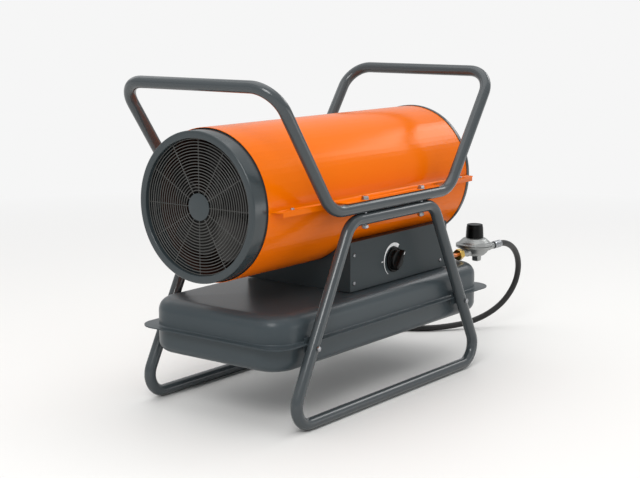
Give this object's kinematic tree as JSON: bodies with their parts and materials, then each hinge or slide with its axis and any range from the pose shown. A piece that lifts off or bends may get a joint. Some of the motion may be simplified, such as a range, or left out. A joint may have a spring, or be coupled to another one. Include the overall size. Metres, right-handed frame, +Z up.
{
  "type": "forced air gas heater",
  "caption": "Portable gas space heater: an orange barrel with a guarded fan in a bent tube carrying frame, over a base tank, with a control box, a regulator and a hose.",
  "frame": {"origin": "on the floor, under the middle of the heater's box without its hose", "axes": "+X along the barrel from the intake to the outlet, +Z up, the control panel faces -Y"},
  "size_m": [1.1368, 0.6262, 0.6955],
  "materials": {
    "frame_coat": "satin anthracite powder coat",
    "orange_enamel": "gloss orange enamel",
    "collar_coat": "satin anthracite powder coat",
    "guard_coat": "satin dark coat on steel wire",
    "tank_coat": "satin anthracite powder coat",
    "box_coat": "satin anthracite powder coat",
    "fan_aluminium": "pressed sheet, dull",
    "motor_paint": "black",
    "bright_steel": "turned",
    "zinc_fasteners": "zinc plated",
    "heat_steel": "heat resistant sheet",
    "copper_pipe": "drawn copper tube",
    "knob_plastic": "black",
    "inner_plastic": "black",
    "valve_casting": "die cast",
    "rubber_parts": "black",
    "brass_fittings": "machined",
    "regulator_casting": "die cast, satin",
    "cap_plastic": "black",
    "ferrule_steel": "zinc plated, crimped",
    "hose_rubber": "black, smooth"
  },
  "bodies": {
    "root": {"handle_frame": "frame_coat", "near_leg_frame": "frame_coat", "far_leg_frame": "frame_coat", "upper_shell": "orange_enamel", "lower_shell": "orange_enamel", "intake_collar": "collar_coat", "outlet_ring": "collar_coat", "finger_guard": "guard_coat", "tank_upper": "tank_coat", "tank_lower": "tank_coat", "leg_brackets": "tank_coat", "control_box": "box_coat", "control_panel": "box_coat", "fan_motor": "motor_paint", "motor_bracket": "motor_paint", "igniter_electrode": "bright_steel", "thermocouple": "bright_steel", "frame_bolts": "zinc_fasteners", "frame_nuts": "zinc_fasteners", "flange_screws": "zinc_fasteners", "flange_nuts": "zinc_fasteners", "leg_screws": "zinc_fasteners", "panel_screws": "zinc_fasteners", "combustion_chamber": "heat_steel", "chamber_brackets": "heat_steel", "burner_head": "heat_steel", "flame_spreader": "heat_steel", "burner_pipe": "copper_pipe", "inlet_pipe": "copper_pipe", "terminal_block": "inner_plastic", "cable_gland": "inner_plastic", "igniter_transformer": "inner_plastic", "overheat_thermostat": "inner_plastic", "gas_valve": "valve_casting", "pipe_grommet": "rubber_parts", "regulator_diaphragm": "rubber_parts", "union_nut": "brass_fittings", "cylinder_connector": "brass_fittings", "regulator_body": "regulator_casting", "regulator_bonnet": "regulator_casting", "hose_ferrule": "ferrule_steel", "connector_ferrule": "ferrule_steel", "hose_run": "hose_rubber", "hose_coil": "hose_rubber"},
    "fan": {"fan_rotor": "fan_aluminium", "motor_shaft": "bright_steel"},
    "knob": {"control_knob": "knob_plastic", "valve_spindle": "bright_steel"},
    "adjuster": {"adjusting_cap": "cap_plastic", "adjusting_screw": "bright_steel"}
  },
  "joints": [
    {"name": "fan_spin", "type": "hinge", "parent": "root", "child": "fan", "pos_m": [-0.40725, 0, 0.4418], "axis": [1, 0, 0], "continuous": true},
    {"name": "knob_turn", "type": "hinge", "parent": "root", "child": "knob", "pos_m": [0.01575, -0.15, 0.283], "axis": [0, -1, 0], "range_deg": [0, 210]},
    {"name": "adjuster_turn", "type": "hinge", "parent": "root", "child": "adjuster", "pos_m": [0.38675, -0.126, 0.29], "axis": [0, 0, 1], "range_deg": [-150, 150]}
  ]
}
